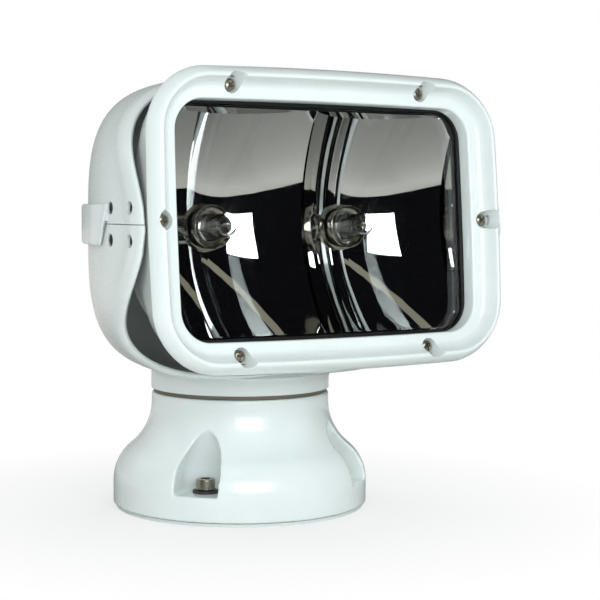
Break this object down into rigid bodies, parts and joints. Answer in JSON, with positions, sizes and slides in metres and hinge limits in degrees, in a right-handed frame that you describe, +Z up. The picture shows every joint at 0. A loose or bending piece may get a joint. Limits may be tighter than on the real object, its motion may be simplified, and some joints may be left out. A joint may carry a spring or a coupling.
{
  "type": "marine searchlight",
  "caption": "Remotely steered marine searchlight: a wide lamp head with a double-bowl reflector, hung in a bucket-shaped yoke that turns on a flared deck base.",
  "frame": {"origin": "on the pan axis, at the underside of the base gasket, which is the deck face", "axes": "+Z up along the pan axis; the lamp faces -Y at rest; +X is towards the right when looking at the glass"},
  "size_m": [0.201, 0.1629, 0.2131],
  "materials": {
    "white_plastic": "gloss",
    "black_rubber": "matte",
    "stainless_steel": "satin",
    "black_plastic": "matte",
    "aluminium": "satin",
    "bronze": "satin",
    "nylon": "satin",
    "plated_collar": "satin",
    "ceramic": "matte",
    "chrome": "polished",
    "clear_glass": "polished"
  },
  "bodies": {
    "base": {"base_gasket": "black_rubber", "base_housing": "white_plastic", "deck_screw_1": "stainless_steel", "deck_screw_2": "stainless_steel", "deck_screw_3": "stainless_steel", "deck_screw_4": "stainless_steel", "deck_washer_1": "black_plastic", "deck_washer_2": "black_plastic", "deck_washer_3": "black_plastic", "deck_washer_4": "black_plastic", "drive_plate": "aluminium", "pan_motor": "stainless_steel", "pan_bush": "bronze", "cable_gland": "black_plastic", "neck_seal": "black_rubber"},
    "pan_pinion": {"pan_pinion": "nylon"},
    "yoke": {"yoke": "white_plastic", "rear_cover": "white_plastic", "pan_shaft": "stainless_steel", "pan_gear": "nylon", "pan_nut": "stainless_steel", "side_screw_1": "stainless_steel", "side_screw_2": "stainless_steel", "side_screw_3": "stainless_steel", "side_screw_4": "stainless_steel", "side_screw_5": "stainless_steel", "side_screw_6": "stainless_steel", "side_screw_7": "stainless_steel", "side_screw_8": "stainless_steel", "pivot_plate_left": "stainless_steel", "pivot_plate_right": "stainless_steel", "tilt_bracket": "aluminium", "tilt_motor": "stainless_steel"},
    "tilt_pinion": {"tilt_pinion": "nylon"},
    "head": {"bezel": "white_plastic", "lens_glass": "clear_glass", "lens_gasket": "black_rubber", "reflector": "chrome", "bulb_left": "clear_glass", "bulb_right": "clear_glass", "bulb_collar_left": "plated_collar", "bulb_collar_right": "plated_collar", "bulb_holder_left": "ceramic", "bulb_holder_right": "ceramic", "lamp_housing": "white_plastic", "tilt_sector": "aluminium", "bezel_screw_1": "stainless_steel", "bezel_screw_2": "stainless_steel", "bezel_screw_3": "stainless_steel", "bezel_screw_4": "stainless_steel", "bezel_screw_5": "stainless_steel", "bezel_screw_6": "stainless_steel", "pivot_bush_left": "bronze", "pivot_bush_right": "bronze"}
  },
  "joints": [
    {"name": "pan", "type": "hinge", "parent": "base", "child": "yoke", "pos_m": [0, 0, 0.0577], "axis": [0, 0, 1], "range_deg": [-160, 160]},
    {"name": "tilt", "type": "hinge", "parent": "yoke", "child": "head", "pos_m": [0, -0.0668, 0.1431], "axis": [-1, 0, 0], "range_deg": [-24, 8]},
    {"name": "pan_pinion_spin", "type": "hinge", "parent": "base", "child": "pan_pinion", "pos_m": [0, 0.0375, 0.0325], "axis": [0, 0, 1], "range_deg": [-640, 640]},
    {"name": "tilt_pinion_spin", "type": "hinge", "parent": "yoke", "child": "tilt_pinion", "pos_m": [0, 0.0007, 0.1431], "axis": [-1, 0, 0], "range_deg": [-64, 192]}
  ],
  "couplings": [
    {"joint": "pan_pinion_spin", "follows": "pan", "ratio": -4},
    {"joint": "tilt_pinion_spin", "follows": "tilt", "ratio": -8}
  ]
}
